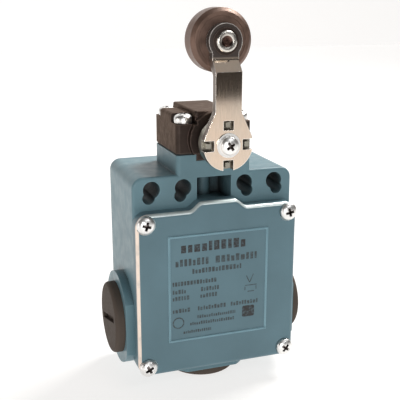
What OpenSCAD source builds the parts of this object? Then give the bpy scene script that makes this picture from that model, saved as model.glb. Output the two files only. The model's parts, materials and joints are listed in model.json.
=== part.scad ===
// Compact three-entry limit switch with a side rotary head and a roller lever.
// Axes: X right, Y from the operator towards the mounting panel, Z up.
// Origin: centre of the mounting hole pattern on the back face. Millimetres.

/* [Body] */
// Width of the body casting
body_w = 52; // [40:0.5:70]
// Depth of the body casting, back face to cover seat
body_d = 30; // [22:0.5:40]
// Top of the shoulders above the mounting hole row
body_top = 4; // [3:0.1:10]
// Bottom of the casting below the mounting hole row
body_drop = 59.2; // [50:0.1:75]
// Outline corner radius seen from the front
body_corner_r = 3.5; // [1:0.1:6]
// Wall thickness of the wiring space
wall = 3; // [2:0.1:5]
// Height of the neck under the operating head
neck_h = 5.9; // [3:0.1:9]
// Half height of the solid strip that holds the mounting holes, below the row
strip_drop = 10; // [8:0.1:14]

/* [Mounting holes] */
// Outer hole spacing
outer_span = 40; // [30:0.1:50]
// Inner hole spacing
inner_span = 20; // [15:0.1:28]
// Radius of the main hole
hole_r = 2.65; // [2:0.05:3.5]
// Radius of the second, lower hole
low_hole_r = 1.95; // [1.5:0.05:2.5]
// Second hole: distance outwards
low_hole_out = 0.9; // [0:0.1:2]
// Second hole: distance down
low_hole_down = 2.44; // [1:0.02:4]

/* [Centre pocket] */
// Half width of the pocket behind the cover tab
pocket_half_w = 5.6; // [4:0.1:7]
// Depth of the pocket
pocket_d = 11.9; // [6:0.1:14]
// Top of the pocket
pocket_top = 2.8; // [1:0.1:3.5]
// Bottom of the pocket
pocket_bottom = -5.2; // [-7:0.1:-3]
// Radius of the rod column in the pocket
column_r = 2.6; // [2.2:0.1:3.5]

/* [Cover] */
// Cover thickness
cover_t = 4.7; // [3:0.1:6]
// Half width of the cover
cover_half_w = 26.2; // [24:0.1:28]
// Top edge of the cover
cover_top = -6.3; // [-9:0.1:-4]
// Bottom edge of the cover
cover_bottom = -59; // [-64:0.1:-54]
// Outline corner radius of the cover
cover_corner_r = 4; // [2:0.1:6]
// Radius of the rounded front edge
cover_edge_r = 1.4; // [0.4:0.1:2]
// Height of the centre tab
tab_h = 2.5; // [1:0.1:4]
// Half width of the tab's flat top
tab_flat = 5.2; // [3:0.1:8]
// Half width of the tab's foot
tab_foot = 9.6; // [6:0.1:12]
// Cover screw distance from the centre line
cover_screw_x = 23.2; // [20:0.1:24]
// Upper cover screws
cover_screw_top = -9.35; // [-12:0.05:-8]
// Lower cover screws
cover_screw_low = -55.9; // [-58:0.05:-50]
// Width of the raised frame on the cover
rule_w = 33; // [20:0.5:44]
// Upper rule of the frame
rule_top = -14; // [-20:0.1:-12]
// Lower rule of the frame
rule_low = -48.1; // [-52:0.1:-40]

/* [Head] */
// Half width of the operating head
head_half_w = 12; // [10:0.1:15]
// Distance of the head's back from the panel
head_back = 7; // [0:0.1:12]
// Top of the head's raised middle
head_top = 23.1; // [18:0.05:30]
// Top of the head beside the raised middle
ledge_top = 22; // [18:0.05:30]
// Side of the corner notches
notch = 5.9; // [4:0.1:7]
// Floor of the corner notches
notch_floor = 19.3; // [16:0.1:22]

/* [Shaft and lever] */
// Height of the shaft above the mounting hole row
shaft_z = 14.62; // [12:0.02:18]
// Front face of the lever at the hub
lever_front = 41.9; // [36:0.1:48]
// Lever plate thickness
lever_t = 2.4; // [1.5:0.1:4]
// Half width of the strap
strap_half_w = 4; // [3:0.1:6]
// Radius of the lever's hub disc
disc_r = 7.6; // [6:0.1:10]
// Backward step of the lever's upper end
joggle = 2.8; // [0:0.1:6]
// Start of the step
joggle_z0 = 35.5; // [28:0.1:38]
// End of the step
joggle_z1 = 38.6; // [32:0.1:42]
// Radius of the lever's upper end
eye_r = 5.05; // [4:0.05:7]
// Lever radius, shaft to roller
lever_reach = 29.25; // [24:0.05:45]

/* [Roller] */
// Roller radius
roller_r = 9.3; // [7:0.1:12]
// Roller width
roller_w = 7.4; // [4:0.1:10]
// Roller axle radius
axle_r = 2.5; // [2:0.1:4]

/* [Conduit plugs] */
// Plug flange radius
plug_r = 11.6; // [10:0.1:14]
// Plug flange thickness
plug_t = 3; // [2:0.1:5]
// Entry thread radius
entry_r = 10; // [8:0.1:10]
// Distance of the entry axes from the back face
entry_y = 16.8; // [14:0.1:20]
// Height of the side entries
side_entry_z = -45; // [-50:0.1:-38]
// Side boss projection
side_boss = 2.7; // [0:0.1:5]
// Bottom boss projection
low_boss = 3.5; // [0:0.1:5]
// Radius of the bosses
boss_r = 15; // [12:0.1:18]
// Tilt of the plug slots
slot_tilt = 16; // [0:1:90]

/* [Mechanism] */
// Plunger travel for one radian of lever swing
lift_per_rad = 0.9167; // [0.5:0.0001:1.5]
// Gap between the cam and the plunger
cam_gap = 0.3; // [0.1:0.05:0.5]
// Distance from shaft axis to cam face at rest
cam_h = 3.9; // [3:0.1:5]

/* [Hidden] */
$fn = 64;
eps = 0.01;
hw = body_w / 2;
neck_top = body_top + neck_h;
gasket_t = 0.6;
head_base = neck_top + gasket_t;
head_mid = (head_back + body_d) / 2;
front = body_d + cover_t;
cover_screws = [for (x = [-1, 1], z = [cover_screw_top, cover_screw_low]) [x * cover_screw_x, z]];
head_screw_in = 3.05;
head_screw_x = head_half_w - head_screw_in;
head_screw_y = (body_d - head_back) / 2 - head_screw_in;
roller_z = shaft_z + lever_reach;
fit = 0.05;
snug = 0.02;
slide_gap = 0.1;
end_gap = 0.2;
tip_gap = 0.5;
rod_r = 1.5;
cup_r = 4.4;
cup_floor = 3.9;
cup_bore_r = cup_r + fit;
cup_way_r = cup_r + 0.4;
cup_edge = 0.3;
crown_t = 1.2;
crown_z = shaft_z - cam_h - cam_gap;
cup_skirt_z = 5.4;
rod_bottom = -11.5;
cavity_half_w = 21.8;
cavity_top = -strip_drop;
cavity_bottom = -55.5;
cavity_r = 5;
gasket_in = 0.6;
gasket_out = 1.6;
gasket_groove = 1;
m3_r = 1.5;
steel = [0.78, 0.79, 0.8];
enamel = [0.36, 0.47, 0.5];
dark_cast = [0.3, 0.26, 0.24];
nickel = [0.72, 0.68, 0.62];
zinc = [0.85, 0.85, 0.83];
brown_steel = [0.42, 0.37, 0.33];
plug_grey = [0.33, 0.3, 0.29];
rubber = [0.08, 0.08, 0.08];
moulding = [0.16, 0.15, 0.15];
ivory = [0.82, 0.79, 0.7];
brass = [0.8, 0.65, 0.32];
silver = [0.88, 0.88, 0.9];
body_edge_r = 0.8;
neck_root = 2;
neck_corner_r = 1.2;
boss_root = 6.5;
key_half_w = 5.7;
key_d = 2;
key_z = 8.1;
key_fit = 0.1;
clearance = 0.15;
hole_fit = 0.03;
cover_screw_depth = 9;
cover_head_r = 2.8;
cover_head_h = 2.1;
screw_seat = 0.4;
screw_seat_r = 2.9;
cover_recess = 2;
cover_recess_in = 0.8;
tab_inset = 0.6;
rule_h = 0.35;
rule_t = 0.8;
head_corner_r = 1.2;
head_edge_r = 1;
head_rib_corner_r = 0.8;
head_rib_edge_r = 0.5;
nose_r = 8.4;
nose_l = 2.2;
head_screw_r = 2.75;
head_screw_h = 2.9;
notch_cut = 10;
gasket_inset = 0.4;
chamber_r = 5.9;
chamber_y = [12.6, 25.4];
bush_r = 4.1;
bush_front = 33.6;
shaft_r = 3;
rear_journal_r = 2.2;
rear_journal_y = 9.2;
shaft_tap = 9;
m4_r = 2;
hub_back = 34.4;
hub_rim_back = 36.3;
hub_front = lever_front - lever_t;
hub_r = 7.4;
hub_neck_r = 5.2;
hub_edge = 0.4;
seal_r = 4.4;
lug_w = 1.5;
lug_at = 5.9;
lug_drop = 0.5;
window_w = 3.1;
window_in = 4.4;
window_out = 7.1;
washer_r = 3.6;
washer_t = 0.4;
lever_head_r = 2.75;
lever_head_h = 1.9;
lever_screw_l = 9;
joggle_ease = 1;
cam_mid = head_mid;
cam_t_y = 6;
cam_t = [2.65, 5.85];
cam_steps = 40;
cam_hub_r = 2.7;
cam_pin_r = 0.8;
cam_pin_l = 5.2;
centring_y = 23;
centring_l = 2.2;
centring_r = 3.1;
centring_wire = 0.25;
centring_open = 60;
centring_turns = 3 - centring_open / 360;
centring_leg = 5;
peg_lift = 4.9;
peg_r = 0.8;
peg_l = 2.4;
eye_front = lever_front - joggle;
axle_washer_r = 3.9;
axle_washer_t = 0.35;
axle_head_r = 3.1;
axle_head_t = 0.9;
axle_flange_r = 4;
axle_flange_t = 1.2;
axle_flange_gap = 0.1;
dimple_r = 1.9;
dimple_d = 0.7;
roller_back = eye_front - lever_t - axle_washer_t - 0.1 - roller_w;
roller_edge = 1.1;
dish_in = 4.6;
dish_out = 7.1;
dish_d = 0.3;
cup_wall = 0.8;
plunger_spring_r = 3;
plunger_wire = 0.35;
plunger_turns = 5;
rod_seal_r = 3.1;
rod_seal_h = 2;
plug_shank = 8;
plug_edge = 1.3;
plug_slot_l = 16.4;
plug_slot_w = 2;
plug_slot_d = 1.4;
plug_bore_r = 7.8;
low_slot_turn = 30;
seal_seat = 1.3;
seal_seat_r = 11.2;
block_half_w = 14;
block_front = 23.5;
block_z = [-41, cavity_top - 0.05];
block_cover_half_w = 6.6;
block_cover_t = 1;
block_cover_lift = 0.5;
block_screw_x = 11;
block_screw_z = -38.9;
block_screw_tip = 1;
carrier_half_w = 3.4;
carrier_y = [15, 22];
carrier_bottom = -35;
channel_bottom = -39.4;
carrier_spring_r = 2.2;
carrier_wire = 0.3;
carrier_turns = 4;
bridge_z = -26;
bridge_t = 0.8;
bridge_half_l = 9.7;
bridge_y = [16.5, 20.5];
bridge_mid = 18.5;
window_h = 7;
contact_x = 8;
contact_r = 1.5;
button_t = 0.8;
fixed_gap = 3.3;
bridge_spring_r = 1.5;
bridge_wire = 0.22;
bridge_turns = 4;
strip_lip = 0.3;
strip_gap = 0.4;
strip_t = 0.8;
chamber_half_w = 13;
chamber_back = 15.5;
contact_chamber_z = [-30.3, -21.7];
terminal_x = 9.8;
terminal_top = -18.9;
terminal_low = -33.1;
terminal_h = 6.6;
terminal_y = [23.6, 24.5];
terminal_pit = 5;
terminal_head_r = 2.6;
terminal_head_h = 1.8;
terminal_shank = 5.5;
clamp_w = 5.6;
clamp_t = 0.9;
ground_x = -17.4;
ground_z = -22;
ground_boss_r = 3.2;
ground_boss_y = 12;

// -- helpers --

// Local XY becomes the front view, local +Z points at the operator, starting y in front of the panel
module at_front(y) {
    translate([0, -y, 0])
    rotate([90, 0, 0])
    children();
}

// Cylinder along Y from distance a to distance b in front of the panel
module ycyl(r, a, b) {
    at_front(a)
    cylinder(r = r, h = b - a);
}

// Ring along Y
module yring(r_in, r_out, a, b) {
    difference() {
        ycyl(r_out, a, b);
        ycyl(r_in, a - 1, b + 1);
    }
}

// Box between two X values, two distances in front of the panel and two heights
module slab(x, y, z) {
    translate([x[0], -y[1], z[0]])
    cube([x[1] - x[0], y[1] - y[0], z[1] - z[0]]);
}

// Rounded rectangle, centred, r at the corners
module round_rect(w, h, r) {
    square([w - 2 * r, h], center = true);
    square([w, h - 2 * r], center = true);
    for (sx = [-1, 1], sy = [-1, 1])
        translate([sx * (w / 2 - r), sy * (h / 2 - r)])
        circle(r = r);
}

// Edge section of a plate: reach r, thickness t, far corner rounded by e
module edge_section(r, t, e) {
    square([r - e, t]);
    square([r, t - e]);
    translate([r - e, t - e])
    intersection() {
        circle(r = e);
        square(e);
    }
}

// Rounded plate whose upper edge is rounded by e
module soft_plate(w, h, r, t, e) {
    translate([r - w / 2, r - h / 2, 0])
    cube([w - 2 * r, h - 2 * r, t]);
    for (sx = [-1, 1], sy = [-1, 1])
        translate([sx * (w / 2 - r), sy * (h / 2 - r), 0])
        rotate_extrude()
        edge_section(r, t, e);
    for (a = [0, 90, 180, 270])
        rotate([0, 0, a])
        translate([(a % 180 == 0 ? w : h) / 2 - r, 0, 0])
        rotate([90, 0, 0])
        linear_extrude(height = (a % 180 == 0 ? h : w) - 2 * r, center = true)
        edge_section(r, t, e);
}

// Round wire swept along a path that stays nearly square to +Z
module wire_along(path, r) {
    sides = 8;
    n = len(path) - 1;
    points = [for (i = [0:n])
        let (d = path[min(i + 1, n)] - path[max(i - 1, 0)], out = [d[1], -d[0], 0] / norm([d[0], d[1]]))
        for (j = [0:sides - 1])
        let (b = j * 360 / sides)
        path[i] + r * (cos(b) * out + sin(b) * [0, 0, 1])];
    walls = [for (i = [0:n - 1], j = [0:sides - 1])
        let (k = (j + 1) % sides)
        [i * sides + j, i * sides + k, (i + 1) * sides + k, (i + 1) * sides + j]];
    first = [for (j = [0:sides - 1]) sides - 1 - j];
    last = [for (j = [0:sides - 1]) n * sides + j];
    polyhedron(points = points, faces = concat(walls, [first], [last]));
}

// Points of a helix of radius r about +Z, from height wire to length - wire, starting at angle a0
function helix(r, wire, length, turns, a0 = 0) =
    let (steps = 18, n = ceil(turns * steps), rise = (length - 2 * wire) / n)
    [for (i = [0:n]) [r * cos(a0 + i * 360 / steps), r * sin(a0 + i * 360 / steps), wire + i * rise]];

// Coil spring standing on the origin
module coil(r, wire, length, turns) {
    wire_along(helix(r, wire, length, turns), wire);
}

// Cross-recessed pan head screw, tip at the origin of its shank, head towards +Z
module pan_screw(head_r, head_h, shank_r, shank_l) {
    slot = head_r * 0.3;
    difference() {
        union() {
            rotate_extrude()
            edge_section(head_r, head_h, head_h * 0.55);
            translate([0, 0, -shank_l])
            cylinder(r = shank_r, h = shank_l + eps);
        }
        for (a = [0, 90])
            rotate([0, 0, a])
            translate([0, 0, head_h])
            cube([head_r * 1.15, slot, head_h * 1.2], center = true);
    }
}

// Places children at every cover screw, facing the operator
module at_cover_screws(y) {
    for (p = cover_screws)
        translate([p[0], 0, p[1]])
        at_front(y)
        children();
}

// Places children at every head screw
module at_head_screws(z) {
    for (x = [-1, 1], y = [-1, 1])
        translate([x * head_screw_x, y * head_screw_y - head_mid, z])
        children();
}

// Places children on the shaft axis
module at_shaft() {
    translate([0, 0, shaft_z])
    children();
}

// Main and low circles of the mounting holes
module mounting_holes() {
    for (side = [-1, 1], span = [outer_span, inner_span])
        translate([side * span / 2, 0, 0]) {
            ycyl(hole_r, -1, body_d + 1);
            translate([side * low_hole_out, 0, -low_hole_down])
            ycyl(low_hole_r, -1, body_d + 1);
        }
}

// Outline of the wiring space, grown by g
module cavity_outline(g) {
    translate([0, (cavity_top + cavity_bottom) / 2])
    round_rect(2 * (cavity_half_w + g), cavity_top - cavity_bottom + 2 * g, cavity_r + g);
}

// Places children on an entry axis, local +Z pointing out of the body, at the boss face
module at_entry(i) {
    if (i == 2)
        translate([0, -entry_y, -body_drop - low_boss])
        rotate([180, 0, 0])
        children();
    else
        translate([(i == 0 ? -1 : 1) * (hw + side_boss), -entry_y, side_entry_z])
        rotate([0, i == 0 ? -90 : 90, 0])
        children();
}

// -- body, cover and their fasteners --

module body_shell() {
    translate([0, 0, (body_top - body_drop) / 2])
    at_front(0)
    soft_plate(body_w, body_top + body_drop, body_corner_r, body_d, body_edge_r);
    translate([0, -head_mid, body_top - neck_root])
    linear_extrude(height = neck_h + neck_root)
    round_rect(2 * head_half_w, body_d - head_back, neck_corner_r);
    intersection() {
        for (i = [0, 1, 2])
            at_entry(i)
            translate([0, 0, -boss_root])
            cylinder(r = boss_r, h = boss_root);
        slab([-2 * hw, 2 * hw], [0, body_d - body_edge_r], [-2 * body_drop, 0]);
    }
}

module pocket() {
    difference() {
        slab([-pocket_half_w, pocket_half_w], [body_d - pocket_d, body_d + 1],
            [pocket_bottom, pocket_top]);
        translate([0, -head_mid, pocket_bottom - 1])
        cylinder(r = column_r, h = pocket_top - pocket_bottom + 2);
    }
}

module body_housing() {
    color(enamel)
    difference() {
        union() {
            difference() {
                body_shell();
                at_front(wall)
                linear_extrude(height = body_d)
                cavity_outline(0);
            }
            translate([ground_x, 0, ground_z])
            ycyl(ground_boss_r, wall - eps, ground_boss_y);
        }
        mounting_holes();
        pocket();
        at_front(body_d - gasket_groove)
        linear_extrude(height = gasket_groove + 1)
        difference() {
            cavity_outline(gasket_out);
            cavity_outline(gasket_in);
        }
        at_cover_screws(body_d - cover_screw_depth)
        cylinder(r = m3_r + hole_fit, h = cover_screw_depth + 1);
        translate([0, -head_mid, cup_floor])
        cylinder(r = cup_bore_r, h = neck_top);
        translate([0, -head_mid, cavity_top - 1])
        cylinder(r = rod_r + fit, h = cup_floor - cavity_top + 2);
        translate([0, -head_mid, cavity_top - 1])
        cylinder(r = rod_seal_r, h = 1 + rod_seal_h);
        at_head_screws(cup_floor)
        cylinder(r = m3_r + hole_fit, h = neck_top);
        slab([-key_half_w - key_fit, key_half_w + key_fit], [body_d - key_d - key_fit, body_d + 1],
            [key_z - key_fit, neck_top + 1]);
        for (i = [0, 1, 2])
            at_entry(i) {
                translate([0, 0, -plug_shank])
                cylinder(r = entry_r + fit, h = plug_shank + 1);
                translate([0, 0, -seal_seat])
                cylinder(r = seal_seat_r, h = seal_seat + 1);
            }
        for (x = [-1, 1])
            translate([x * block_screw_x, 0, block_screw_z])
            ycyl(m3_r + hole_fit, block_screw_tip - clearance, wall + 1);
        translate([ground_x, 0, ground_z])
        ycyl(m3_r + hole_fit, wall, ground_boss_y + 1);
    }
}

// Front view outline of the cover's centre tab
module tab_outline() {
    steps = 14;
    run = tab_foot - tab_flat;
    right = [for (i = [0:steps])
        [tab_flat + run * i / steps, tab_h * (1 + cos(180 * i / steps)) / 2]];
    left = [for (i = [0:steps])
        [-tab_foot + run * i / steps, tab_h * (1 - cos(180 * i / steps)) / 2]];
    polygon(concat([[-tab_foot, -cover_corner_r]], left, right, [[tab_foot, -cover_corner_r]]));
}

module cover() {
    mid = (cover_top + cover_bottom) / 2;
    color(enamel)
    difference() {
        union() {
            translate([0, 0, mid])
            at_front(body_d)
            soft_plate(2 * cover_half_w, cover_top - cover_bottom, cover_corner_r, cover_t, cover_edge_r);
            translate([0, 0, cover_top])
            at_front(body_d) {
                linear_extrude(height = cover_t - cover_edge_r)
                tab_outline();
                translate([0, -tab_inset, 0])
                linear_extrude(height = cover_t)
                tab_outline();
            }
            for (z = [rule_top, rule_low])
                slab([-rule_w / 2, rule_w / 2], [front - eps, front + rule_h],
                    [z - rule_t / 2, z + rule_t / 2]);
            for (x = [-1, 1])
                translate([x * (rule_w - rule_t) / 2, 0, 0])
                slab([-rule_t / 2, rule_t / 2], [front - eps, front + rule_h / 2], [rule_low, rule_top]);
        }
        at_front(body_d - 1)
        linear_extrude(height = 1 + cover_recess)
        cavity_outline(-cover_recess_in);
        at_cover_screws(body_d - 1)
        cylinder(r = m3_r + clearance, h = cover_t + 2);
        at_cover_screws(front - screw_seat)
        cylinder(r = screw_seat_r, h = screw_seat + 1);
    }
}

module cover_gasket() {
    color(rubber)
    at_front(body_d - gasket_groove + snug)
    linear_extrude(height = gasket_groove - 2 * snug)
    difference() {
        cavity_outline(gasket_out - snug);
        cavity_outline(gasket_in + snug);
    }
}

module cover_screws() {
    color(zinc)
    at_cover_screws(front - screw_seat)
    pan_screw(cover_head_r, cover_head_h, m3_r, cover_t + cover_screw_depth - screw_seat - tip_gap);
}

// -- head --

module head_block() {
    depth = body_d - head_back;
    translate([0, -head_mid, head_base]) {
        soft_plate(2 * head_half_w, depth, head_corner_r, ledge_top - head_base, head_edge_r);
        soft_plate(2 * (head_half_w - notch), depth, head_rib_corner_r, head_top - head_base,
            head_rib_edge_r);
    }
    intersection() {
        at_shaft()
        ycyl(nose_r, body_d - head_edge_r, body_d + nose_l);
        slab([-head_half_w, head_half_w], [0, front], [head_base, head_top]);
    }
    slab([-key_half_w, key_half_w], [body_d - key_d, body_d], [key_z, head_base + eps]);
}

module head_housing() {
    color(dark_cast)
    difference() {
        head_block();
        for (x = [-1, 1], y = [-1, 1])
            translate([x * (head_half_w - notch + notch_cut / 2),
                y * ((body_d - head_back) / 2 - notch + notch_cut / 2) - head_mid, notch_floor])
            linear_extrude(height = notch)
            round_rect(notch_cut, notch_cut, head_corner_r);
        at_head_screws(head_base - 1)
        cylinder(r = m3_r + clearance, h = head_top);
        at_shaft() {
            ycyl(chamber_r, chamber_y[0], chamber_y[1]);
            ycyl(bush_r + snug, chamber_y[1] - eps, body_d + nose_l + 1);
            ycyl(rear_journal_r + fit, rear_journal_y, chamber_y[0] + eps);
        }
        translate([0, -head_mid, head_base - 1])
        cylinder(r = cup_way_r, h = shaft_z - head_base + 1);
    }
    color(dark_cast)
    translate([0, 0, shaft_z + peg_lift])
    ycyl(peg_r, chamber_y[1] - peg_l, chamber_y[1] + eps);
}

module head_gasket() {
    color(rubber)
    difference() {
        translate([0, -head_mid, neck_top])
        linear_extrude(height = gasket_t)
        round_rect(2 * (head_half_w - gasket_inset), body_d - head_back - 2 * gasket_inset,
            head_corner_r);
        translate([0, -head_mid, neck_top - 1])
        cylinder(r = cup_way_r, h = gasket_t + 2);
        at_head_screws(neck_top - 1)
        cylinder(r = m3_r + clearance, h = gasket_t + 2);
        slab([-key_half_w - key_fit, key_half_w + key_fit], [body_d - key_d - key_fit, body_d + 1],
            [neck_top - 1, head_base + 1]);
    }
}

module head_screws() {
    color(zinc)
    at_head_screws(notch_floor)
    pan_screw(head_screw_r, head_screw_h, m3_r, notch_floor - cup_floor - tip_gap);
}

module shaft_bushing() {
    color(dark_cast)
    at_shaft()
    yring(shaft_r + fit, bush_r, chamber_y[1], bush_front);
}

module centring_spring() {
    turn = helix(centring_r, centring_wire, centring_l, centring_turns, 90 + centring_open / 2);
    end = turn[len(turn) - 1];
    color(steel)
    at_shaft()
    at_front(centring_y)
    wire_along(concat([[turn[0][0], centring_leg, turn[0][2]]], turn, [[end[0], centring_leg, end[2]]]),
        centring_wire);
}

// -- lever and shaft --

module shaft() {
    color(steel)
    at_shaft()
    difference() {
        union() {
            ycyl(shaft_r, chamber_y[1] + end_gap, hub_front - end_gap);
            ycyl(rear_journal_r, rear_journal_y + end_gap, chamber_y[1] + end_gap + eps);
        }
        ycyl(m4_r + hole_fit, hub_front - shaft_tap, hub_front);
        translate([0, -cam_mid, -shaft_r])
        cylinder(r = cam_pin_r + hole_fit, h = 2 * shaft_r, $fn = 32);
    }
}

// Involute face: the plunger travel is proportional to the swing
module cam_outline() {
    t0 = cam_h / lift_per_rad;
    face = [for (i = [0:cam_steps])
        let (t = cam_t[0] + (cam_t[1] - cam_t[0]) * i / cam_steps, d = t * 180 / PI)
        lift_per_rad * [cos(d) + t * sin(d), sin(d) - t * cos(d)]];
    rotate(-t0 * 180 / PI)
    polygon(concat([[0, 0]], face));
    circle(r = cam_hub_r);
}

module cam() {
    color(steel)
    at_shaft()
    difference() {
        at_front(cam_mid - cam_t_y / 2)
        linear_extrude(height = cam_t_y)
        cam_outline();
        ycyl(rear_journal_r + hole_fit, 0, body_d);
        translate([0, -cam_mid, -cam_h])
        cylinder(r = cam_pin_r + hole_fit, h = 3 * cam_h, $fn = 32);
    }
}

module cam_pin() {
    color(steel)
    translate([0, -cam_mid, shaft_z - cam_pin_l / 2])
    cylinder(r = cam_pin_r, h = cam_pin_l, $fn = 32);
}

module shaft_seal() {
    color(rubber)
    at_shaft()
    yring(shaft_r + snug, seal_r, bush_front + slide_gap, hub_back - slide_gap);
}

module lever_hub() {
    color(nickel)
    at_shaft() {
        difference() {
            union() {
                ycyl(hub_neck_r, hub_back, hub_rim_back + eps);
                at_front(hub_front)
                rotate([180, 0, 0])
                rotate_extrude()
                edge_section(hub_r, hub_front - hub_rim_back, hub_edge);
            }
            ycyl(shaft_r + snug, 0, lever_front);
        }
        for (a = [0, 90, 180, 270])
            rotate([0, a, 0])
            slab([-lug_w / 2, lug_w / 2], [hub_front - eps, lever_front - lug_drop],
                [lug_at - lug_w / 2, lug_at + lug_w / 2]);
    }
}

// Points on an arc about [0, y] from angle a to angle b
function arc(y, r, a, b) =
    let (steps = 48)
    [for (i = [0:steps]) [0, y] + r * [cos(a + (b - a) * i / steps), sin(a + (b - a) * i / steps)]];

// Front view outline of the lever: hub disc, tangents to the strap, strap and eye
module lever_outline() {
    flare_y = 9.6;
    disc_a = atan2(flare_y, strap_half_w) - acos(disc_r / norm([strap_half_w, flare_y]));
    eye_a = acos(strap_half_w / eye_r);
    polygon(concat(arc(0, disc_r, -180 - disc_a, disc_a), [[strap_half_w, flare_y]],
        arc(lever_reach, eye_r, -eye_a, 180 + eye_a), [[-strap_half_w, flare_y]]));
}

// Side view section of the lever, [distance from the panel, height]
module lever_section() {
    z0 = joggle_z0 - shaft_z;
    z1 = joggle_z1 - shaft_z;
    top = lever_reach + eye_r + 1;
    far = lever_front - joggle;
    polygon([[lever_front, -disc_r - 1], [lever_front, z0], [far, z1], [far, top], [far - lever_t, top],
        [far - lever_t, z1 - joggle_ease], [lever_front - lever_t, z0 - joggle_ease],
        [lever_front - lever_t, -disc_r - 1]]);
}

module lever_plate() {
    color(nickel)
    at_shaft()
    difference() {
        intersection() {
            at_front(0)
            linear_extrude(height = 2 * lever_front)
            lever_outline();
            rotate([90, 0, -90])
            linear_extrude(height = 4 * disc_r, center = true)
            lever_section();
        }
        ycyl(m4_r + clearance, 0, 2 * front);
        translate([0, 0, lever_reach])
        ycyl(axle_r + snug, 0, 2 * front);
        for (a = [0, 90, 180, 270])
            rotate([0, a, 0])
            slab([-window_w / 2, window_w / 2], [0, 2 * front],
                [window_in, a == 0 ? window_out : disc_r + 1]);
    }
}

module lever_washer() {
    color(zinc)
    at_shaft()
    yring(m4_r + clearance, washer_r, lever_front, lever_front + washer_t);
}

module lever_screw() {
    color(zinc)
    at_shaft()
    at_front(lever_front + washer_t)
    pan_screw(lever_head_r, lever_head_h, m4_r, lever_screw_l);
}

// -- roller and axle --

module at_axle() {
    translate([0, 0, roller_z])
    children();
}

module roller() {
    color(brown_steel)
    at_axle()
    difference() {
        at_front(roller_back)
        rotate_extrude($fn = 128)
        polygon([[axle_r + fit, 0], [roller_r - roller_edge, 0], [roller_r, roller_edge],
            [roller_r, roller_w - roller_edge], [roller_r - roller_edge, roller_w],
            [axle_r + fit, roller_w]]);
        for (y = [roller_back - 1, roller_back + roller_w - dish_d])
            yring(dish_in, dish_out, y, y + 1 + dish_d);
    }
}

module roller_axle() {
    color(nickel)
    at_axle()
    difference() {
        union() {
            ycyl(axle_r, roller_back - axle_flange_gap, eye_front + axle_washer_t + eps);
            ycyl(axle_flange_r, roller_back - axle_flange_gap - axle_flange_t,
                roller_back - axle_flange_gap);
            at_front(eye_front + axle_washer_t)
            rotate_extrude()
            edge_section(axle_head_r, axle_head_t, axle_head_t * 0.7);
        }
        at_front(eye_front + axle_washer_t + axle_head_t - dimple_d)
        cylinder(r1 = dimple_r * 0.55, r2 = dimple_r, h = dimple_d + eps);
    }
}

module axle_washers() {
    color(dark_cast)
    at_axle() {
        yring(axle_r + snug, axle_washer_r, eye_front, eye_front + axle_washer_t);
        yring(axle_r + snug, axle_washer_r, eye_front - lever_t - axle_washer_t, eye_front - lever_t);
    }
}

// -- plunger --

module plunger_cup() {
    color(steel)
    translate([0, -head_mid, 0])
    difference() {
        translate([0, 0, cup_skirt_z])
        rotate_extrude()
        edge_section(cup_r, crown_z - cup_skirt_z, cup_edge);
        translate([0, 0, cup_skirt_z - 1])
        cylinder(r = cup_r - cup_wall, h = crown_z - crown_t - cup_skirt_z + 1);
    }
}

module plunger_rod() {
    color(steel)
    translate([0, -head_mid, rod_bottom])
    cylinder(r = rod_r, h = crown_z - crown_t - rod_bottom);
}

module plunger_spring() {
    color(steel)
    translate([0, -head_mid, cup_floor])
    coil(plunger_spring_r, plunger_wire, crown_z - crown_t - cup_floor, plunger_turns);
}

module rod_seal() {
    color(rubber)
    translate([0, -head_mid, cavity_top + end_gap])
    difference() {
        cylinder(r = rod_seal_r - snug, h = rod_seal_h - end_gap - fit);
        translate([0, 0, -1])
        cylinder(r = rod_r + fit, h = rod_seal_h + 2);
    }
}

// -- conduit plugs --

module plug(i) {
    color(plug_grey)
    at_entry(i)
    difference() {
        union() {
            rotate_extrude($fn = 96)
            edge_section(plug_r, plug_t, plug_edge);
            translate([0, 0, -plug_shank])
            cylinder(r = entry_r, h = plug_shank + eps);
        }
        rotate([0, 0, i == 2 ? low_slot_turn : 90 + (i == 0 ? slot_tilt : -slot_tilt)])
        translate([0, 0, plug_t])
        cube([plug_slot_l, plug_slot_w, 2 * plug_slot_d], center = true);
        translate([0, 0, -plug_shank - 1])
        cylinder(r = plug_bore_r, h = plug_shank - 1);
    }
}

module plug_left() {
    plug(0);
}

module plug_right() {
    plug(1);
}

module plug_bottom() {
    plug(2);
}

module plug_seals() {
    color(rubber)
    for (i = [0, 1, 2])
        at_entry(i)
        translate([0, 0, -seal_seat / 2])
        rotate_extrude()
        translate([(entry_r + seal_seat_r) / 2, 0])
        circle(r = (seal_seat_r - entry_r) / 2 - hole_fit, $fn = 32);
}

// -- contact block --

module at_terminals() {
    for (x = [-1, 1], z = [terminal_top, terminal_low])
        translate([x * terminal_x, 0, z])
        children();
}

module contact_base() {
    color(moulding)
    difference() {
        slab([-block_half_w, block_half_w], [wall + fit, block_front], block_z);
        slab([-carrier_half_w - slide_gap, carrier_half_w + slide_gap],
            [carrier_y[0] - slide_gap, block_front + 1], [channel_bottom, 0]);
        slab([-chamber_half_w, chamber_half_w], [chamber_back, block_front + 1], contact_chamber_z);
        at_terminals()
        ycyl(m3_r + clearance, block_front - terminal_pit, block_front + 1);
        for (x = [-1, 1])
            translate([x * block_screw_x, 0, block_screw_z])
            ycyl(m3_r + clearance, 0, block_front + 1);
    }
}

module contact_cover() {
    color(ivory) {
        slab([-block_cover_half_w, block_cover_half_w], [block_front + fit, block_front + block_cover_t],
            [block_z[0] + block_cover_lift, block_z[1]]);
        slab([-chamber_half_w, chamber_half_w], [block_front + fit, block_front + block_cover_t],
            [bridge_z - fixed_gap + clearance, bridge_z + fixed_gap - clearance]);
    }
}

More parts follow.
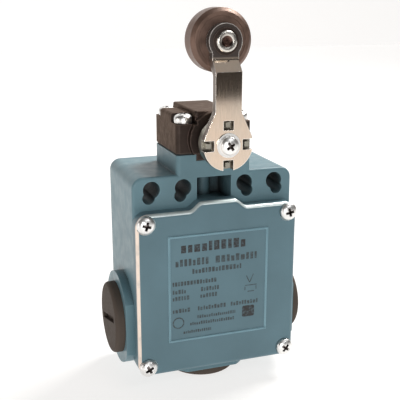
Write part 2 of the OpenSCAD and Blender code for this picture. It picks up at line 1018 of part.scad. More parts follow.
module contact_carrier() {
    color(ivory)
    difference() {
        slab([-carrier_half_w, carrier_half_w], carrier_y, [carrier_bottom, rod_bottom]);
        slab([-block_half_w, block_half_w], [bridge_y[0] - end_gap, bridge_y[1] + end_gap],
            [bridge_z - window_h / 2, bridge_z + window_h / 2]);
    }
}

module moving_bridge() {
    color(brass)
    difference() {
        slab([-bridge_half_l, bridge_half_l], bridge_y,
            [bridge_z - bridge_t / 2, bridge_z + bridge_t / 2]);
        for (x = [-1, 1])
            translate([x * contact_x, -bridge_mid, bridge_z - 1])
            cylinder(r = contact_r / 2 + snug, h = 2);
    }
}

module bridge_contacts() {
    color(silver)
    for (x = [-1, 1])
        translate([x * contact_x, -bridge_mid, 0]) {
            for (s = [-1, 1])
                translate([0, 0, bridge_z + s * (bridge_t + button_t) / 2])
                cylinder(r = contact_r, h = button_t, center = true);
            translate([0, 0, bridge_z])
            cylinder(r = contact_r / 2, h = bridge_t + 2 * eps, center = true);
        }
}

module bridge_springs() {
    gap = (window_h - bridge_t) / 2;
    color(steel)
    for (z = [bridge_z + bridge_t / 2, bridge_z - bridge_t / 2 - gap])
        translate([0, -bridge_mid, z])
        coil(bridge_spring_r, bridge_wire, gap, bridge_turns);
}

module carrier_spring() {
    color(steel)
    translate([0, -(carrier_y[0] + carrier_y[1]) / 2, channel_bottom])
    coil(carrier_spring_r, carrier_wire, carrier_bottom - channel_bottom, carrier_turns);
}

// One fixed contact: button, strip and terminal plate; side and row as +1 or -1
module fixed_contact(side, row) {
    strip_z = bridge_z + row * fixed_gap;
    plate_z = row > 0 ? [strip_z, strip_z + terminal_h] : [strip_z - terminal_h, strip_z];
    screw_z = row > 0 ? terminal_top : terminal_low;
    color(brass)
    mirror([side < 0 ? 1 : 0, 0, 0])
    difference() {
        union() {
            slab([contact_x - contact_r - strip_lip, chamber_half_w - end_gap], bridge_y,
                row > 0 ? [strip_z, strip_z + strip_t] : [strip_z - strip_t, strip_z]);
            slab([block_cover_half_w + strip_gap, chamber_half_w - end_gap], [bridge_y[0], terminal_y[1]],
                row > 0 ? [strip_z, strip_z + strip_t] : [strip_z - strip_t, strip_z]);
            slab([block_cover_half_w + strip_gap, chamber_half_w - end_gap], terminal_y, plate_z);
            translate([contact_x, -bridge_mid, row > 0 ? strip_z - button_t : strip_z])
            cylinder(r = contact_r, h = button_t);
        }
        translate([terminal_x, 0, screw_z])
        ycyl(m3_r + hole_fit, 0, front);
    }
}

module contact_upper_left() {
    fixed_contact(-1, 1);
}

module contact_upper_right() {
    fixed_contact(1, 1);
}

module contact_lower_left() {
    fixed_contact(-1, -1);
}

module contact_lower_right() {
    fixed_contact(1, -1);
}

module terminal_clamps() {
    color(zinc)
    at_terminals()
    difference() {
        slab([-clamp_w / 2, clamp_w / 2], [terminal_y[1], terminal_y[1] + clamp_t],
            [-clamp_w / 2, clamp_w / 2]);
        ycyl(m3_r + clearance, 0, front);
    }
}

module terminal_screws() {
    color(zinc)
    at_terminals()
    at_front(terminal_y[1] + clamp_t)
    pan_screw(terminal_head_r, terminal_head_h, m3_r, terminal_shank);
}

module block_screws() {
    color(zinc)
    for (x = [-1, 1])
        translate([x * block_screw_x, 0, block_screw_z])
        at_front(block_front)
        pan_screw(terminal_head_r, terminal_head_h, m3_r, block_front - block_screw_tip);
}

module ground_clamp() {
    color(zinc)
    translate([ground_x, 0, ground_z])
    difference() {
        slab([-clamp_w / 2, clamp_w / 2], [ground_boss_y, ground_boss_y + clamp_t],
            [-clamp_w / 2, clamp_w / 2]);
        ycyl(m3_r + clearance, 0, front);
    }
}

module ground_screw() {
    color(brass)
    translate([ground_x, 0, ground_z])
    at_front(ground_boss_y + clamp_t)
    pan_screw(terminal_head_r, terminal_head_h, m3_r, ground_boss_y - wall);
}

body_housing();
cover();
cover_gasket();
cover_screws();
head_housing();
head_gasket();
head_screws();
shaft_bushing();
centring_spring();
shaft();
cam();
cam_pin();
shaft_seal();
lever_hub();
lever_plate();
lever_washer();
lever_screw();
roller();
roller_axle();
axle_washers();
plunger_cup();
plunger_rod();
plunger_spring();
rod_seal();
plug_left();
plug_right();
plug_bottom();
plug_seals();
contact_base();
contact_cover();
contact_carrier();
moving_bridge();
bridge_contacts();
bridge_springs();
carrier_spring();
contact_upper_left();
contact_upper_right();
contact_lower_left();
contact_lower_right();
terminal_clamps();
terminal_screws();
block_screws();
ground_clamp();
ground_screw();
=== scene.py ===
import json
import math
import random

import bmesh
import bpy
from mathutils import Matrix, Vector


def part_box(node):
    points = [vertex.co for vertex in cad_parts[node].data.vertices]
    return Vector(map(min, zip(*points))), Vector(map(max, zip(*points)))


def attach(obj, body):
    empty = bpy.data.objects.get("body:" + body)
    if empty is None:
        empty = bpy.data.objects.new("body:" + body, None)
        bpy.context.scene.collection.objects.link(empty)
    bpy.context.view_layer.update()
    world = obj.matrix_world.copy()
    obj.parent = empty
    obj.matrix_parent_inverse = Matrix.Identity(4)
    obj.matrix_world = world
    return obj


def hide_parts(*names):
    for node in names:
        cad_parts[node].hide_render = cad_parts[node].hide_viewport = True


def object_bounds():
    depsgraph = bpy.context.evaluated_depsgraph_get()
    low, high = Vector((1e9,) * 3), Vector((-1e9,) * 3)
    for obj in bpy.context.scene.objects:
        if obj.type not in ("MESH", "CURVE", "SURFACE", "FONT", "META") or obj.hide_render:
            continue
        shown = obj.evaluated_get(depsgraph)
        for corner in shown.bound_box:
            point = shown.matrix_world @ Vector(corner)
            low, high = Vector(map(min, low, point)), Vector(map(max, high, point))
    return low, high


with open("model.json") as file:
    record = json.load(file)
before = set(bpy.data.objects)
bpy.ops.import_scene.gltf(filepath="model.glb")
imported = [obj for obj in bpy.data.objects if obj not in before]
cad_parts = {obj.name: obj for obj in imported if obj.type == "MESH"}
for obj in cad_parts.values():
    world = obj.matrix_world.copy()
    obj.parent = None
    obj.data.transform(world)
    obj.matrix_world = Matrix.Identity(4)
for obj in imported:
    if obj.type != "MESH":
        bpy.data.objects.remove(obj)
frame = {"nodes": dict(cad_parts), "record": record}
cad_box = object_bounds()
nodes = frame["nodes"]
MM = 0.001


# ---------------------------------------------------------------- shader helpers

class Shader:
    """One node material, built by short calls."""

    def __init__(self, name, color, rough, metal=0.0, spec=0.5):
        self.mat = bpy.data.materials.new(name)
        self.mat.use_nodes = True
        self.tree = self.mat.node_tree
        self.tree.nodes.clear()
        self.out = self.tree.nodes.new("ShaderNodeOutputMaterial")
        self.bsdf = self.tree.nodes.new("ShaderNodeBsdfPrincipled")
        self.link(self.bsdf.outputs[0], self.out.inputs[0])
        self.bsdf.inputs["Base Color"].default_value = (*color, 1)
        self.bsdf.inputs["Roughness"].default_value = rough
        self.bsdf.inputs["Metallic"].default_value = metal
        self.bsdf.inputs["Specular IOR Level"].default_value = spec
        self.coord = self.tree.nodes.new("ShaderNodeTexCoord").outputs["Object"]

    def link(self, a, b):
        self.tree.links.new(a, b)

    def add(self, kind, **values):
        node = self.tree.nodes.new("ShaderNode" + kind)
        for key, value in values.items():
            setattr(node, key, value)
        return node

    def feed(self, socket, value):
        if isinstance(value, bpy.types.NodeSocket):
            self.link(value, socket)
        else:
            socket.default_value = value

    def math(self, op, a, b=0.0):
        node = self.add("Math", operation=op)
        self.feed(node.inputs[0], a)
        self.feed(node.inputs[1], b)
        return node.outputs[0]

    def noise(self, scale, detail=3.0, rough=0.5, vector=None):
        node = self.add("TexNoise")
        self.link(vector or self.coord, node.inputs["Vector"])
        node.inputs["Scale"].default_value = scale
        node.inputs["Detail"].default_value = detail
        node.inputs["Roughness"].default_value = rough
        return node.outputs["Fac"]

    def stretched(self, factors, offset=(0, 0, 0)):
        node = self.add("Mapping")
        self.link(self.coord, node.inputs["Vector"])
        node.inputs["Scale"].default_value = factors
        node.inputs["Location"].default_value = offset
        return node.outputs["Vector"]

    def remap(self, value, a, b, lo, hi, smooth=False):
        node = self.add("MapRange", interpolation_type="SMOOTHSTEP" if smooth else "LINEAR")
        self.feed(node.inputs[0], value)
        for i, v in enumerate((a, b, lo, hi)):
            node.inputs[i + 1].default_value = v
        return node.outputs[0]

    def mix(self, fac, a, b):
        node = self.add("Mix", data_type="RGBA")
        self.feed(node.inputs[0], fac)
        for socket, value in ((node.inputs[6], a), (node.inputs[7], b)):
            self.feed(socket, value if isinstance(value, bpy.types.NodeSocket) else (*value, 1))
        return node.outputs[2]

    def xyz(self, vector=None):
        node = self.add("SeparateXYZ")
        self.link(vector or self.coord, node.inputs[0])
        return node.outputs

    def paint(self, color):
        self.feed(self.bsdf.inputs["Base Color"], color)

    def rough(self, value):
        self.feed(self.bsdf.inputs["Roughness"], value)

    def bump(self, height, strength, distance, radius=0.3 * MM):
        """Surface relief on edges that are shaded as rounded."""
        node = self.add("Bump")
        node.inputs["Strength"].default_value = strength
        node.inputs["Distance"].default_value = distance
        self.feed(node.inputs["Height"], height)
        edge = self.add("Bevel", samples=6)
        edge.inputs["Radius"].default_value = radius
        self.link(edge.outputs[0], node.inputs["Normal"])
        self.link(node.outputs[0], self.bsdf.inputs["Normal"])


def edge_wear_and_highlight(s, amount, radius):
    """Mask that is 1 on convex edges, from the difference of bevelled and true normals; used for edge wear
    and for a painted edge highlight.
    """
    soft = s.add("Bevel", samples=4)
    soft.inputs["Radius"].default_value = radius
    geo = s.add("NewGeometry")
    dot = s.add("VectorMath", operation="DOT_PRODUCT")
    s.link(soft.outputs[0], dot.inputs[0])
    s.link(geo.outputs["Normal"], dot.inputs[1])
    return s.remap(dot.outputs["Value"], 0.99, 0.85, 0.0, amount)


def hollow_shade(s, reach, samples, unshaded_share, full, amount):
    """Share of painted shade in hollows, from ambient occlusion; the two shares of open sky give where the
    shade starts and where it is complete.
    """
    hollow = s.add("AmbientOcclusion", samples=samples, only_local=True)
    hollow.inputs["Distance"].default_value = reach
    return s.remap(hollow.outputs["AO"], unshaded_share, full, 0, amount, True)


# ---------------------------------------------------------------- materials

def rounding_highlight(s, seed):
    """Share of painted highlight, coloured like unpainted metal, on front roundings that face left or up,
    uneven along the edge.
    """
    node = s.add("TexCoord")
    nx, ny, nz = s.xyz(node.outputs["Normal"])
    side = s.math("MAXIMUM", s.math("MULTIPLY", nx, -1.0), nz)
    turned_out = s.remap(side, 0.26, 0.5, 0, 1, True)
    facing = s.remap(s.math("MULTIPLY", ny, -1.0), 0.05, 0.3, 0, 1, True)
    patchy = s.remap(s.noise(130, 4, 0.6, s.stretched((1, 1, 1), (0, 0, seed))), 0.3, 0.45, 0.7, 1)
    return s.math("MULTIPLY", s.math("MULTIPLY", turned_out, facing), patchy)


def enamel(name, color, seed, rim_highlight=None, warm_highlight_from=0.0, shade_in_hollows=0.0):
    """Sprayed enamel on a die casting: fine orange peel, faint mottling, thin wear on edges.

    An optional rim colour paints a highlight, coloured like unpainted metal, on front roundings that face
    left or up:
    that colour near the left side, which lies at a given x, and a cool grey on top.
    An optional reach paints shade, nearly black, in narrow hollows.
    """
    s = Shader(name, color, 0.36, spec=0.28)
    cloud = s.noise(55, 4, vector=s.stretched((1, 1, 1), (seed, seed, 0)))
    dark = [c * 0.9 for c in color]
    light = [c * 1.07 for c in color]
    tone = s.mix(s.remap(cloud, 0.3, 0.7, 0, 1), dark, light)
    worn = edge_wear_and_highlight(s, 0.3, 0.5 * MM)
    tone = s.mix(worn, tone, [min(1, c * 1.9 + 0.03) for c in color])
    # painted highlight: front roundings that face left or up are coloured like unpainted metal, warm near the
    # left side and cool grey on top
    if rim_highlight:
        highlight_share = rounding_highlight(s, seed)
        left = s.remap(s.xyz()[0], warm_highlight_from + 4.7 * MM, warm_highlight_from + 1.7 * MM, 0, 1, True)
        tone = s.mix(highlight_share, tone, s.mix(left, (0.66, 0.74, 0.73), rim_highlight))
        s.feed(s.bsdf.inputs["Metallic"], s.math("MULTIPLY", highlight_share, 0.5))
    # painted shade: narrow hollows such as holes and the pocket are darkened nearly to black, from ambient
    # occlusion
    if shade_in_hollows:
        tone = s.mix(hollow_shade(s, shade_in_hollows, 6, 0.6, 0.38, 0.9), tone, (0.012, 0.007, 0.006))
    s.paint(tone)
    s.rough(s.remap(s.noise(300, 3), 0.3, 0.7, 0.3, 0.44))
    peel = s.math("ADD", s.noise(900, 2), s.math("MULTIPLY", s.noise(2600, 2), 0.35))
    s.bump(peel, 0.18, 0.12 * MM, 0.25 * MM)
    return s.mat


def dark_casting(name, color):
    """Dark lacquered zinc casting with faint cast grain and worn edges."""
    s = Shader(name, color, 0.42, 0.9, 0.3)
    s.bsdf.inputs["Specular Tint"].default_value = (1, 0.84, 0.74, 1)
    grain = s.noise(420, 4, 0.6)
    cloud = s.noise(160, 3, 0.6)
    tone = s.mix(s.remap(cloud, 0.3, 0.7, 0, 1), [c * 0.85 for c in color], [c * 1.15 for c in color])
    worn = edge_wear_and_highlight(s, 0.5, 0.5 * MM)
    s.paint(s.mix(worn, tone, [c * 5 for c in color]))
    s.rough(s.remap(grain, 0.3, 0.7, 0.42, 0.58))
    s.bump(s.math("ADD", grain, s.noise(1700, 2)), 0.3, 0.12 * MM, 0.25 * MM)
    return s.mat


def brushed(name, color, rough, factors, warm=None, strength=0.12, sheared=None, edge_highlight=0.0,
            painted_dark_from=None, shade_in_recesses=0.0):
    """Bare or plated metal with brushing along one direction and a light stain.

    sheared is the colour of the sides. An optional edge brightness paints the edges near white, a painted
    highlight;
    an optional height marks where the metal above is painted dark and made rough, a painted dark reflection;
    an optional reach paints shade in hollows, dark brown.
    """
    s = Shader(name, color, rough, 1.0)
    line = s.noise(900, 3, 0.65, s.stretched(factors))
    stain = s.noise(120, 3)
    tone = s.mix(s.remap(stain, 0.35, 0.7, 0, 1), color, warm or [c * 0.86 for c in color])
    tone = s.mix(s.remap(line, 0.3, 0.7, 0, 0.35), tone, [c * 0.75 for c in color])
    polish = s.remap(line, 0.3, 0.7, rough * 0.8, rough * 1.25)
    if sheared:
        normal = s.xyz(s.add("TexCoord").outputs["Normal"])
        side = s.remap(s.math("ABSOLUTE", normal[1]), 0.3, 0.1, 0, 1, True)
        tone = s.mix(side, tone, sheared)
        polish = s.math("ADD", polish, s.math("MULTIPLY", side, 0.3))
    # painted dark reflection: above a given height the metal is painted dark brown and made rough and less
    # metallic
    if painted_dark_from:
        dark_top = s.remap(s.xyz()[2], painted_dark_from, painted_dark_from + MM, 0, 1, True)
        tone = s.mix(dark_top, tone, (0.05, 0.037, 0.032))
        s.feed(s.bsdf.inputs["Metallic"], s.math("SUBTRACT", 1.0, s.math("MULTIPLY", dark_top, 0.9)))
        polish = s.math("ADD", polish, s.math("MULTIPLY", dark_top, 0.25))
    # painted highlight: the edges are painted near white
    if edge_highlight:
        tone = s.mix(edge_wear_and_highlight(s, edge_highlight, 0.35 * MM), tone, (1, 0.96, 0.9))
    # painted shade: hollows such as the cross recesses are darkened to dark brown, from ambient occlusion
    if shade_in_recesses:
        tone = s.mix(hollow_shade(s, shade_in_recesses, 8, 0.8, 0.5, 0.92), tone, (0.09, 0.055, 0.05))
    s.paint(tone)
    s.rough(polish)
    s.bump(line, strength, 0.06 * MM, 0.18 * MM)
    return s.mat


def turned(name, color, rough, centre, metal=1.0, dimple=0.0):
    """Steel turned about an axis along y: fine concentric tool marks, and a dimple of a given radius at the
    axis painted dark brown as painted shade.
    """
    s = Shader(name, color, rough, metal)
    moved = s.add("VectorMath", operation="SUBTRACT")
    s.link(s.coord, moved.inputs[0])
    moved.inputs[1].default_value = centre
    flat = s.add("VectorMath", operation="MULTIPLY")
    s.link(moved.outputs[0], flat.inputs[0])
    flat.inputs[1].default_value = (1, 0, 1)
    length = s.add("VectorMath", operation="LENGTH")
    s.link(flat.outputs[0], length.inputs[0])
    ring = s.math("SINE", s.math("MULTIPLY", length.outputs["Value"], 9 / MM))
    stain = s.noise(260, 4, 0.6)
    tone = s.mix(s.remap(stain, 0.3, 0.7, 0, 1), [c * 0.7 for c in color], color)
    # painted shade: the dimple at the centre of the axle head is painted dark brown
    if dimple:
        dimple_shade = s.remap(length.outputs["Value"], dimple, dimple * 0.8, 0, 1, True)
        tone = s.mix(dimple_shade, tone, (0.13, 0.075, 0.06))
    s.paint(tone)
    s.rough(s.remap(stain, 0.3, 0.7, rough * 0.75, rough * 1.3))
    s.bump(s.math("ADD", ring, s.noise(700, 3)), 0.14, 0.04 * MM, 0.2 * MM)
    return s.mat


def moulded(name, color, rough=0.5, spec=0.5):
    """Moulded plastic with a fine spark-eroded grain."""
    s = Shader(name, color, rough, spec=spec)
    grain = s.noise(1500, 3)
    s.paint(s.mix(s.noise(90, 3), [c * 0.85 for c in color], [c * 1.15 for c in color]))
    s.rough(s.remap(grain, 0.3, 0.7, rough * 0.85, rough * 1.15))
    s.bump(grain, 0.2, 0.08 * MM, 0.2 * MM)
    return s.mat


def rubber(name):
    """Black nitrile rubber with a dusty bloom."""
    s = Shader(name, (0.02, 0.02, 0.02), 0.75)
    s.paint(s.mix(s.noise(500, 4), (0.012, 0.012, 0.012), (0.04, 0.04, 0.038)))
    s.bump(s.noise(2200, 3), 0.2, 0.06 * MM)
    return s.mat


cover_low, cover_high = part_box("cover")
roller_low, roller_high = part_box("roller")
roller_centre = (roller_low + roller_high) / 2
teal = (0.122, 0.215, 0.25)
# painted shade: the cover has the body's paint, made darker
teal_cover_shaded = (0.108, 0.188, 0.222)
looks = {
    # the body gets painted shade in its holes and pocket
    "body_enamel": enamel("body_enamel", teal, 3.0, shade_in_hollows=6 * MM),
    # the cover gets a painted highlight on its left and top roundings
    "cover_enamel": enamel("cover_enamel", teal_cover_shaded, 7.0, (0.9, 0.76, 0.66), cover_low.x),
    "head_cast": dark_casting("head_cast", (0.046, 0.034, 0.029)),
    "seal_rubber": rubber("seal_rubber"),
    # the screws get painted shade in their cross recesses
    "zinc_screw": brushed("zinc_screw", (0.93, 0.92, 0.9), 0.36, (1, 1, 1), shade_in_recesses=1.2 * MM),
    "spring_steel": brushed("spring_steel", (0.55, 0.56, 0.58), 0.3, (1, 1, 6)),
    "ground_steel": brushed("ground_steel", (0.62, 0.62, 0.63), 0.22, (1, 8, 1)),
    # the lever gets a painted highlight on its edges and a painted dark reflection on its upper end
    "lever_nickel": brushed("lever_nickel", (0.72, 0.575, 0.455), 0.08, (6, 1, 0.35),
                            warm=(0.66, 0.57, 0.48), strength=0.05, sheared=(0.2, 0.165, 0.14),
                            edge_highlight=1.0, painted_dark_from=roller_centre.z - 5.2 * MM),
    "hub_steel": brushed("hub_steel", (0.42, 0.4, 0.34), 0.34, (3, 1, 3), (0.26, 0.24, 0.2)),
    # the axle head gets painted shade in its dimple
    "axle_steel": turned("axle_steel", (0.8, 0.76, 0.7), 0.26, roller_centre, dimple=1.8 * MM),
    "roller_steel": turned("roller_steel", (0.2, 0.125, 0.095), 0.42, roller_centre, metal=0.6),
    "plug_cast": moulded("plug_cast", (0.092, 0.074, 0.062), 0.55, 0.02),
    "contact_moulding": moulded("contact_moulding", (0.02, 0.02, 0.022)),
    "ivory_moulding": moulded("ivory_moulding", (0.6, 0.55, 0.44)),
    "contact_brass": brushed("contact_brass", (0.75, 0.55, 0.22), 0.28, (1, 1, 5)),
    "contact_silver": brushed("contact_silver", (0.85, 0.85, 0.87), 0.2, (1, 1, 1)),
}

for part in frame["record"]["subparts"]:
    node = nodes[part["node"]]
    look = looks[part["material_slot"]]
    if not node.material_slots:
        node.data.materials.append(look)
    for material_slot in node.material_slots:
        material_slot.material = look


# ---------------------------------------------------------------- mesh helpers

def mesh_object(name, bm):
    """Object from a mesh under construction, with its faces turned outwards."""
    bmesh.ops.recalc_face_normals(bm, faces=bm.faces)
    mesh = bpy.data.meshes.new(name)
    bm.to_mesh(mesh)
    bm.free()
    obj = bpy.data.objects.new(name, mesh)
    bpy.context.collection.objects.link(obj)
    return obj


def carve(obj, cutter_bm):
    """Cuts a closed mesh out of an object."""
    cutter = mesh_object("cutter", cutter_bm)
    step = obj.modifiers.new("carve", "BOOLEAN")
    step.operation = "DIFFERENCE"
    step.solver = "EXACT"
    step.object = cutter
    graph = bpy.context.evaluated_depsgraph_get()
    cut = bpy.data.meshes.new_from_object(obj.evaluated_get(graph))
    obj.modifiers.clear()
    obj.data = cut
    bpy.data.objects.remove(cutter)


def make_piece(name, bm, body, slot, replaced=(), cut=None, look=None):
    """Piece from a mesh under construction: smooth up to 35 degrees, riding on a body."""
    obj = mesh_object(name, bm)
    if cut:
        carve(obj, cut)
    obj.data.shade_smooth()
    obj.data.set_sharp_from_angle(angle=math.radians(35))
    obj.data.materials.append(look or looks[slot])
    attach(obj, body)
    if replaced:
        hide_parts(*replaced)


def standing(place, axis, spin=0.0):
    """Transform that puts local +Z along an axis at a place, turned by spin about it."""
    turn = Vector(axis).to_track_quat("Z", "Y").to_matrix().to_4x4()
    return Matrix.Translation(place) @ turn @ Matrix.Rotation(spin, 4, "Z")


def skin(bm, rings):
    """Quads between neighbouring closed rings of vertices."""
    for low_ring, high_ring in zip(rings, rings[1:]):
        count = len(low_ring)
        for i in range(count):
            k = (i + 1) % count
            bm.faces.new((low_ring[i], low_ring[k], high_ring[k], high_ring[i]))


def revolve(bm, profile, move, steps=48):
    """Closed solid turned from (radius, height) pairs whose ends lie on the axis."""
    rings = []
    for radius, height in profile[1:-1]:
        rings.append([bm.verts.new(move @ Vector((radius * math.cos(a), radius * math.sin(a), height)))
                      for a in (math.tau * i / steps for i in range(steps))])
    skin(bm, rings)
    for ring, (_, height) in ((rings[0], profile[0]), (rings[-1], profile[-1])):
        tip = bm.verts.new(move @ Vector((0, 0, height)))
        for i in range(steps):
            bm.faces.new((ring[i], ring[(i + 1) % steps], tip))


def rounded_bar(bm, move, length, width, height, radius):
    """Block centred on its base with rounded upright corners and a rounded upper edge."""
    rings = []
    shoulder = height - radius
    for inset, z in ((0, 0), (0, shoulder), (radius * 0.3, height - radius * 0.3), (radius, height)):
        ring = []
        for sx, sy, start in ((1, 1, 0), (-1, 1, 90), (-1, -1, 180), (1, -1, 270)):
            for step in range(5):
                a = math.radians(start + 22.5 * step)
                corner = Vector((sx * (length / 2 - radius), sy * (width / 2 - radius), 0))
                reach = max(radius - inset, radius * 0.05)
                ring.append(bm.verts.new(move @ (corner + Vector((math.cos(a), math.sin(a), 0)) * reach
                                                 + Vector((0, 0, z)))))
        rings.append(ring)
    skin(bm, rings)
    bm.faces.new(rings[0])
    bm.faces.new(rings[-1])


# ---------------------------------------------------------------- screws

def pan_profile(head_r, head_h, shank_r, shank_l, rim_share):
    """Pan head screw turned about its axis, seat at height 0."""
    rim = rim_share * head_h
    dome = [(head_r * math.cos(a), rim + (head_h - rim) * math.sin(a) ** 0.9)
            for a in (math.radians(9 * i) for i in range(10))]
    tip = 0.3 * MM
    return [(0, -shank_l), (shank_r - tip, -shank_l), (shank_r, tip - shank_l), (shank_r, -0.01 * MM),
            (head_r * 0.97, 0), (head_r, 0.1 * head_h), *dome, (0, head_h)]


def cross_cutter(bm, move, head_r, head_h):
    """Tapered cross recess, sized in shares of the head's radius and height."""
    rings = []
    deep_end, open_end = (0.22, 0.1, 0.2), (0.62, 0.16, 1.2)
    for long, wide, z in (deep_end, open_end):
        ring = []
        for quarter in range(4):
            turn = move @ Matrix.Rotation(quarter * math.pi / 2, 4, "Z")
            for x, y in ((long, -wide), (long, wide), (wide, wide)):
                ring.append(bm.verts.new(turn @ Vector((x * head_r, y * head_r, z * head_h))))
        rings.append(ring)
    skin(bm, rings)
    bm.faces.new(rings[0])
    bm.faces.new(rings[1])


def screws(name, node, body, axis, head_h, spins, shank_r, rim_share=0.28, count=2):
    """Cross-recessed pan head screws, a 2 x 2 pattern or one, in the places of a CAD node's screws."""
    low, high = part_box(node)
    along = 1 if axis[1] else 2
    other = 3 - along
    head_r = head_radius[node]
    shank_l = (high[along] - low[along]) - head_h
    seat = low[along] + head_h if axis[along] < 0 else high[along] - head_h
    bm = bmesh.new()
    cutter = bmesh.new()
    spins = iter(spins)
    if count == 2:
        across = (low.x + head_r, high.x - head_r)
        upward = (low[other] + head_r, high[other] - head_r)
    else:
        across = (0.0,)
        upward = ((low[other] + high[other]) / 2,)
    for x in across:
        for b in upward:
            place = Vector((x, 0, 0))
            place[along] = seat
            place[other] = b
            move = standing(place, axis, math.radians(next(spins)))
            revolve(bm, pan_profile(head_r, head_h, shank_r, shank_l, rim_share), move)
            cross_cutter(cutter, move, head_r, head_h)
    make_piece(name, bm, body, "zinc_screw", [node], cutter)


head_radius = {"cover_screws": 2.8 * MM, "head_screws": 2.75 * MM, "lever_screw": 2.75 * MM}
screws("cover_screw_set", "cover_screws", "switch_body", (0, -1, 0), 2.1 * MM, (28, 75, 52, 12), 1.5 * MM)
screws("head_screw_set", "head_screws", "switch_body", (0, 0, 1), 2.9 * MM, (20, 64, 41, 8), 1.5 * MM, 0.5)
screws("lever_clamp_screw", "lever_screw", "lever_assembly", (0, -1, 0), 1.9 * MM, (33,), 2.0 * MM,
       count=1)


# ---------------------------------------------------------------- cover

rule_h = 0.35 * MM
cover_face = cover_low.y + rule_h
cover_back = cover_high.y
tab_h = 2.5 * MM
cover_top = cover_high.z - tab_h


def cover_outline():
    """Front view outline with outward normals, clockwise from the tab's left foot."""
    corner_r, flat, foot, fine = 4 * MM, 5.2 * MM, 9.6 * MM, 14
    points = []
    run = foot - flat
    for i in range(fine + 1):
        t = i / fine
        z = tab_h * (1 - math.cos(math.pi * t)) / 2
        slope = tab_h * math.pi * math.sin(math.pi * t) / (2 * run)
        points.append((-foot + run * t, cover_top + z, Vector((-slope, 1)).normalized()))
    points += [(-x, z, Vector((-n.x, n.y))) for x, z, n in reversed(points)]
    for sx, sz, start in ((1, 1, 90), (1, -1, 0), (-1, -1, -90), (-1, 1, -180)):
        cx = sx * (cover_high.x - corner_r)
        cz = cover_top - corner_r if sz > 0 else cover_low.z + corner_r
        for step in range(9):
            a = math.radians(start - 90 * step / 8)
            n = Vector((math.cos(a), math.sin(a)))
            points.append((cx + corner_r * n.x, cz + corner_r * n.y, n))
    return points


def front_prism(bm, x_half, z_low, z_high, radius, y_back, y_front, x_mid=0.0, steps=8):
    """Closed upright block with rounded corners in front view."""
    rings = []
    for y in (y_back, y_front):
        ring = []
        for sx, sz, start in ((1, 1, 0), (-1, 1, 90), (-1, -1, 180), (1, -1, 270)):
            for step in range(steps + 1):
                a = math.radians(start + 90 * step / steps)
                x = x_mid + sx * (x_half - radius) + radius * math.cos(a)
                z = (z_high - radius if sz > 0 else z_low + radius) + radius * math.sin(a)
                ring.append(bm.verts.new((x, y, z)))
        rings.append(ring)
    skin(bm, rings)
    bm.faces.new(rings[0])
    bm.faces.new(rings[1])


def cover_shell():
    """Cast cover: rounded front edge that follows the tab, counterbored screw seats, recess at the back."""
    edge_r, seat_r, seat_d, hole_r = 1.4 * MM, 2.9 * MM, 0.4 * MM, 1.65 * MM
    recess_d, recess_half_w, recess_corner_r = 2 * MM, 21 * MM, 4.2 * MM
    recess_low, recess_top = -54.7 * MM, -10.8 * MM
    bevel, spare = 0.12 * MM, 1 * MM
    bm = bmesh.new()
    outline = cover_outline()
    rings = []
    arc = [(edge_r * (1 - math.cos(a)), edge_r * math.sin(a)) for a in (math.pi / 16 * i for i in range(9))]
    for inset, forward in [(0, None)] + arc + [(edge_r * 1.06, edge_r)]:
        y = cover_back if forward is None else cover_face + edge_r - forward
        rings.append([bm.verts.new((x - n.x * inset, y, z - n.y * inset)) for x, z, n in outline])
    skin(bm, rings)
    bm.faces.new(rings[0])
    bm.faces.new(rings[-1])
    cut = bmesh.new()
    low_s, high_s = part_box("cover_screws")
    reach = head_radius["cover_screws"]
    for x in (low_s.x + reach, high_s.x - reach):
        for z in (low_s.z + reach, high_s.z - reach):
            move = standing(Vector((x, cover_face, z)), (0, -1, 0))
            depth = cover_back - cover_face + spare
            revolve(cut, [(0, -depth), (hole_r, -depth), (hole_r, -seat_d), (seat_r, -seat_d),
                          (seat_r, -bevel), (seat_r + 2 * bevel, bevel), (seat_r, spare), (0, spare)], move)
    front_prism(cut, recess_half_w, recess_low, recess_top, recess_corner_r,
                cover_back + spare, cover_back - recess_d)
    make_piece("cover_shell", bm, "switch_body", "cover_enamel", ["cover"], cut)


frame_half_w = 16.5 * MM
frame_top = -13.6 * MM
frame_low = -48.5 * MM


def cover_frame():
    """Raised frame around the printed field."""
    bm = bmesh.new()
    rib, sink = 0.8 * MM, 0.05 * MM
    for z in (frame_top - rib / 2, frame_low + rib / 2):
        move = standing(Vector((0, cover_face + sink, z)), (0, -1, 0))
        rounded_bar(bm, move, 2 * frame_half_w, rib, rule_h + sink, 0.3 * MM)
    for x in (rib / 2 - frame_half_w, frame_half_w - rib / 2):
        move = standing(Vector((x, cover_face + sink, (frame_top + frame_low) / 2)), (0, -1, 0), math.pi / 2)
        rounded_bar(bm, move, frame_top - frame_low, rib, 0.5 * rule_h + sink, 0.2 * MM)
    # painted highlight: the frame's ribs have the cover's paint made lighter, for their lit tops
    make_piece("cover_frame", bm, "switch_body", "cover_enamel",
               look=enamel("frame_enamel_lit", [1.5 * c for c in teal_cover_shaded], 11.0))


def ink(name, color):
    """Pad-printed ink, slightly thin in places."""
    s = Shader(name, color, 0.6, spec=0.3)
    thin = s.remap(s.noise(1400, 3), 0.45, 0.7, 0, 0.45)
    s.paint(s.mix(thin, color, teal_cover_shaded))
    return s.mat


